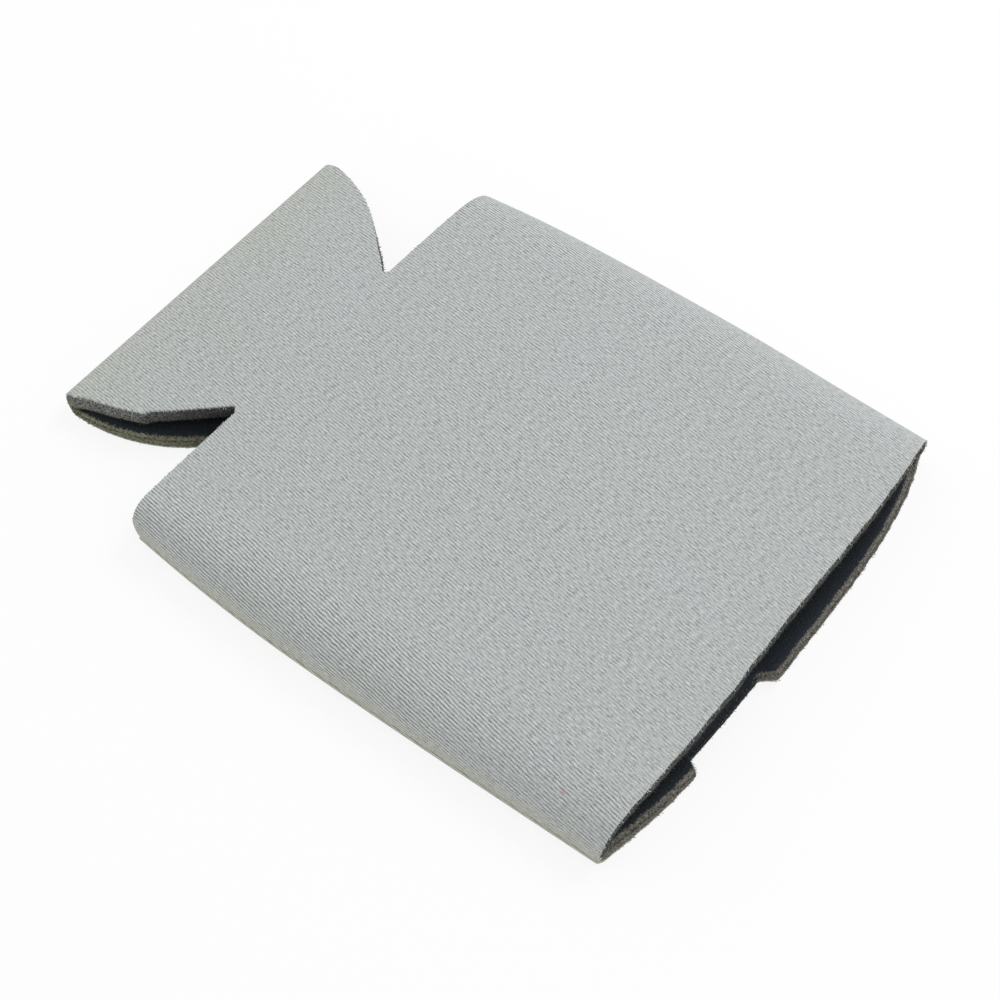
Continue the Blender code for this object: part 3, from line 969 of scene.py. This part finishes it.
def one_fibre(start, length, thickness):
    """A bent, tapered tube that stands on the origin along Z."""
    tip = start.node("ShaderNodeCombineXYZ", None, {"Z": length})
    line = start.node("GeometryNodeCurvePrimitiveLine", None, {"End": tip})
    line = line.node("GeometryNodeResampleCurve", {"mode": "COUNT"}, {"Curve": line, "Count": FIBRE_POINTS})
    along = start.node("GeometryNodeSplineParameter")
    offset = start.node("ShaderNodeCombineXYZ", None, {"X": along * along * length * FIBRE_BEND})
    line = line.node("GeometryNodeSetPosition", None, {"Geometry": line, "Offset": offset})
    values = {"Resolution": FIBRE_SIDES, "Radius": thickness * 0.5}
    ring = start.node("GeometryNodeCurvePrimitiveCircle", None, values)
    taper = 1 - along * (1 - FIBRE_TIP)
    values = {"Curve": line, "Profile Curve": ring, "Scale": taper, "Fill Caps": True}
    return line.node("GeometryNodeCurveToMesh", None, values)


def fibre_tree(material):
    tree = bpy.data.node_groups.new("cut_fibres", "GeometryNodeTree")
    tree.interface.new_socket("Geometry", in_out="INPUT", socket_type="NodeSocketGeometry")
    for name in FIBRE_INPUTS:
        tree.interface.new_socket(name, in_out="INPUT", socket_type="NodeSocketFloat")
    tree.interface.new_socket("Geometry", in_out="OUTPUT", socket_type="NodeSocketGeometry")
    source = tree.nodes.new("NodeGroupInput")
    rail = Link(tree, source.outputs["Geometry"])
    pitch, length, thickness, spread = (Link(tree, source.outputs[name]) for name in FIBRE_INPUTS)
    curve = rail.node("GeometryNodeMeshToCurve", None, {"Mesh": rail})
    curve = curve.node("GeometryNodeResampleCurve", {"mode": "LENGTH"}, {"Curve": curve, "Length": pitch})
    step = random_vector(rail, [-FIBRE_STRAY] * 3, [FIBRE_STRAY] * 3, FIBRE_SEED)
    step = step.node("ShaderNodeVectorMath", {"operation": "SCALE"}, {0: step, "Scale": pitch})
    curve = curve.node("GeometryNodeSetPosition", None, {"Geometry": curve, "Offset": step})
    way = rail.node("GeometryNodeInputNamedAttribute", {"data_type": "FLOAT_VECTOR"}, {"Name": "outward"})
    turn = way.node("FunctionNodeAlignRotationToVector", {"axis": "Z"}, {"Vector": way})
    wander = random_vector(rail, (-1.0, -1.0, -math.pi), (1.0, 1.0, math.pi), FIBRE_SEED + 1)
    limit = spread.node("ShaderNodeCombineXYZ", None, {"X": spread, "Y": spread, "Z": 1.0})
    wander = wander.node("FunctionNodeEulerToRotation", None, {0: wander.vector("MULTIPLY", limit)})
    turn = turn.node("FunctionNodeRotateRotation", {"rotation_space": "LOCAL"}, {0: turn, 1: wander})
    size = random_vector(rail, *FIBRE_SIZES, FIBRE_SEED + 2)
    fibre = one_fibre(rail, length, thickness)
    values = {"Points": curve, "Instance": fibre, "Rotation": turn, "Scale": size}
    placed = curve.node("GeometryNodeInstanceOnPoints", None, values)
    placed = placed.node("GeometryNodeRealizeInstances", None, {0: placed})
    placed = placed.node("GeometryNodeSetMaterial", None, {"Geometry": placed, "Material": material})
    target = tree.nodes.new("NodeGroupOutput")
    tree.links.new(placed.socket, target.inputs["Geometry"])
    return tree


def rail_mesh(depth, outward_share, depth_share):
    """Edges along the three cuts, with the way in which a fibre leaves each place."""
    points, through = face_points(depth), face_points(1.0) - face_points(0.0)
    places, edges, ways = [], [], []
    for loop, (numbers, _) in LOOPS.items():
        first = sum(len(group) for group in places)
        ring = first + np.arange(len(numbers))
        edges += list(zip(ring.tolist(), np.roll(ring, -1).tolist()))
        places.append(points[numbers])
        way = outwards(points, loop) * outward_share
        sheet = through[numbers]
        ways.append(way + sheet / np.linalg.norm(sheet, axis=1)[:, None] * depth_share)
    mesh = bpy.data.meshes.new("rail")
    mesh.from_pydata(np.concatenate(places).tolist(), edges, [])
    outward = mesh.attributes.new("outward", "FLOAT_VECTOR", "POINT")
    outward.data.foreach_set("vector", np.concatenate(ways).ravel())
    return mesh


def grow_fibres(name, rail, material, sizes):
    """Runs the fibre tree on a rail and keeps the result as a plain mesh."""
    made = add_object(name, rail)
    tree = fibre_tree(material)
    modifier = made.modifiers.new("fibres", "NODES")
    modifier.node_group = tree
    for item in tree.interface.items_tree:
        if item.in_out == "INPUT" and item.name in sizes:
            modifier[item.identifier] = sizes[item.name]
    seen = made.evaluated_get(bpy.context.evaluated_depsgraph_get())
    mesh = bpy.data.meshes.new_from_object(seen)
    made.modifiers.remove(modifier)
    made.data = mesh
    mesh.name = name
    for vertex in mesh.vertices:
        vertex.co.z = max(vertex.co.z, 0.0)
    return made


print("fibre inputs:", ", ".join(FIBRE_INPUTS))

# %% [markdown]
# The core is open-cell foam, dark grey, and its inner face is a black nap that swallows light. Only
# its cut faces show their cells: dark pores with pale flecks of cell wall. A Voronoi texture and noise
# on Object coordinates do that, since foam has no direction. The mask that the mesh carries tells cut
# faces from the nap, and noise makes its limit ragged. Away from the fold the upper layer's cut is
# darkened with painted shade, so it looks paler at the fold. The lower layer's cut is yellower at the
# tail, and greyer towards the mouth.

# %% Make the foam's material
CELL = 0.50 * MM
FOAM_CUT = colour(112, 113, 108)
FOAM_PORE = colour(40, 42, 43)
FOAM_FLECK = colour(182, 182, 174)
FLECK_SIZE = 0.34 * MM
FLECK_SHARE, LOWER_FLECK_SHARE = 0.8, 0.45
PAINTED_SHADE_FROM, PAINTED_SHADE_TO = -58.0 * MM, -42.0 * MM
PAINTED_SHADE_SHARE = 0.65
FOAM_TAIL_CUT = colour(126, 126, 104)
FOAM_LOWER_CUT = colour(112, 109, 101)
FOAM_LOWER_PORE = colour(50, 49, 46)
GREYER_FROM, GREYER_TO = -30.0 * MM, 10.0 * MM
LAYER_TURN = 2.3 * MM, 3.3 * MM
LAYER_WAVE, LAYER_SWING = 1.5 * MM, 0.4 * MM
FOAM_LINING = colour(38, 43, 48)
FOAM_LINING_DUST = colour(66, 70, 74)
DUST_SIZE = 0.22 * MM
RAGGED_SIZE, RAGGED_SHARE = 0.35 * MM, 0.55
CUT_PORE_DEPTH = 0.15 * MM


def foam_noise(place, size, detail=2.0):
    """Noise in space with grains of about this size, in metres."""
    return place.node("ShaderNodeTexNoise", None, {"Vector": place, "Scale": 1 / size, "Detail": detail})


def cut_colour(place, wall):
    """The colour of the cut faces: the upper layer's, with painted shade away from the fold, and below it the
    lower layer's.
    """
    along, up = axis_of(place, 0), axis_of(place, 2)
    fleck = foam_noise(place, FLECK_SIZE, 3.0).step(0.55, 0.66)
    upper = mix_colours(wall, FOAM_PORE, FOAM_CUT)
    upper = mix_colours(fleck * FLECK_SHARE, upper, FOAM_FLECK)
    # Painted shade: away from the fold the upper layer's cut darkens towards the pore colour.
    upper = mix_colours(along.step(PAINTED_SHADE_FROM, PAINTED_SHADE_TO) * PAINTED_SHADE_SHARE, upper, FOAM_PORE)
    lower = mix_colours(along.step(GREYER_FROM, GREYER_TO), FOAM_TAIL_CUT, FOAM_LOWER_CUT)
    lower = mix_colours(wall.between(0.2, 1.0), FOAM_LOWER_PORE, lower)
    lower = mix_colours(fleck * LOWER_FLECK_SHARE, lower, FOAM_FLECK)
    turn = up + foam_noise(place, LAYER_WAVE).between(-LAYER_SWING, LAYER_SWING)
    return mix_colours(1 - turn.step(*LAYER_TURN), upper, lower)


def foam_material():
    made, shader, start = new_material("open_cell_foam", {"Roughness": 0.95, "Specular IOR Level": 0.1})
    place = start.object_place()
    cut = start.node("ShaderNodeAttribute", {"attribute_name": "cut"}, None, 2)
    wall = start.node("ShaderNodeTexVoronoi", None, {"Vector": place, "Scale": 1 / CELL}).step(0.12, 0.55)
    lining = mix_colours(foam_noise(place, DUST_SIZE).step(0.55, 0.8), FOAM_LINING, FOAM_LINING_DUST)
    ragged = foam_noise(place, RAGGED_SIZE).between(-RAGGED_SHARE, RAGGED_SHARE)
    face = mix_colours((cut + ragged).step(0.3, 0.7), lining, cut_colour(place, wall))
    connect(face, shader, "Base Color")
    add_bump(shader, wall * 0.6 + foam_noise(place, 0.2 * MM, 3.0) * 0.8, CUT_PORE_DEPTH)
    return made


FOAM = foam_material()
knit_face.data.materials.append(KNIT)
foam_core.data.materials.append(FOAM)
print(FOAM.name, "has", len(FOAM.node_tree.nodes), "nodes")

# %% [markdown]
# Two runs of the tree: pale yarn ends at the ribs' own pitch along the knit's cut edge, which lean over
# the foam, and short dark tufts along the foam's inner edge. The yarn has the knit's colour but no ribs.

# %% Grow the cut fibres
TUFT_COLOURS = colour(34, 37, 40), colour(92, 91, 86)
YARN_COLOURS = colour(160, 163, 160), colour(210, 212, 209)
YARN_END = {"Pitch": 0.45 * MM, "Length": 0.42 * MM, "Thickness": 0.20 * MM, "Spread": 0.3}
TUFT = {"Pitch": 0.20 * MM, "Length": 0.50 * MM, "Thickness": 0.12 * MM, "Spread": 0.6}


def fibre_material(name, colours, size):
    """Fibres whose tone changes a little from one to the next."""
    made, shader, start = new_material(name, {"Roughness": 0.9, "Specular IOR Level": 0.1})
    tone = foam_noise(start.object_place(), size)
    connect(mix_colours(tone.step(0.35, 0.65), *colours), shader, "Base Color")
    return made


YARN = fibre_material("cut_yarn", YARN_COLOURS, 0.4 * MM)
TUFTS = fibre_material("foam_tufts", TUFT_COLOURS, 0.4 * MM)
knit_fray = grow_fibres("knit_fray", rail_mesh(0.5 * KNIT_DEPTH, 0.35, 0.9), YARN, YARN_END)
foam_fray = grow_fibres("foam_fray", rail_mesh(0.90, 0.6, 0.5), TUFTS, TUFT)
for piece in (knit_fray, foam_fray):
    print(piece.name, len(piece.data.polygons), "faces")

# %% [markdown]
# The sleeve rides on the one body that the imported part has, and both layers stand for its one solid.
# The imported solid itself is hidden.

PIECE_SLOTS = ((knit_face, "knit_face"), (foam_core, "foam_core"), (knit_fray, "knit_face"),
               (foam_fray, "foam_core"))
for piece, slot in PIECE_SLOTS:
    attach(piece, "root")
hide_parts(SLEEVE)
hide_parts(SLEEVE)

# %% [markdown]
# The photograph is a studio cut-out: soft light from above and behind, no shadow, pure white behind. The
# floor is pale, and the camera also sees some plain white mixed into it, so the shadow stays but is
# faint. The world and one soft box share the light, so that a colour renders about as it is written.

# %% Set the floor and the light
FLOOR_SIZE = 6.0
FLOOR_DROP = 0.05 * MM
FLOOR_WHITE = (0.90, 0.90, 0.90, 1.0)
FLOOR_SEEN_SHARE = 0.85
WORLD_LIGHT = 0.81
BOX_PLACE = Vector((0.10, 0.46, 0.52))
BOX_SIZE = 0.30
BOX_POWER = 1.75


def seen_share(tree):
    """1 for rays that show the background: from the camera, in gloss or through glass."""
    path = tree.nodes.new("ShaderNodeLightPath")
    kinds = "Is Camera Ray", "Is Glossy Ray", "Is Transmission Ray"
    seen, gloss, through = (Link(tree, path.outputs[name]) for name in kinds)
    return seen.math("MAXIMUM", gloss).math("MAXIMUM", through)


def add_floor():
    mesh = bpy.data.meshes.new("floor")
    half = FLOOR_SIZE / 2
    square = (-half, -half), (half, -half), (half, half), (-half, half)
    mesh.from_pydata([(*corner, -FLOOR_DROP) for corner in square], [], [(0, 1, 2, 3)])
    floor = add_object("floor", mesh)
    constants = {"Base Color": FLOOR_WHITE, "Roughness": 1.0, "Specular IOR Level": 0.0}
    made, _, start = new_material("studio_floor", constants)
    white = start.node("ShaderNodeEmission", None, {"Strength": 1.0})
    share = seen_share(made.node_tree) * FLOOR_SEEN_SHARE
    mixed = start.node("ShaderNodeMixShader", None, {0: share, 1: start, 2: white})
    made.node_tree.links.new(mixed.socket, made.node_tree.nodes["Material Output"].inputs["Surface"])
    mesh.materials.append(made)
    return floor


def set_world():
    """White where the camera looks, and a plain soft light on the object."""
    world = bpy.data.worlds.new("studio")
    world.use_nodes = True
    background = world.node_tree.nodes["Background"]
    strength = seen_share(world.node_tree).between(WORLD_LIGHT, 1.0)
    world.node_tree.links.new(strength.socket, background.inputs["Strength"])
    background.inputs["Color"].default_value = (1.0, 1.0, 1.0, 1.0)
    bpy.context.scene.world = world


def add_soft_box():
    light = bpy.data.lights.new("soft_box", "AREA")
    light.size = BOX_SIZE
    light.energy = BOX_POWER
    box = add_object("soft_box", light)
    box.matrix_world = Matrix.Translation(BOX_PLACE) @ BOX_PLACE.to_track_quat("Z", "Y").to_matrix().to_4x4()


floor = add_floor()
set_world()
add_soft_box()
bpy.context.scene.view_settings.view_transform = "Standard"
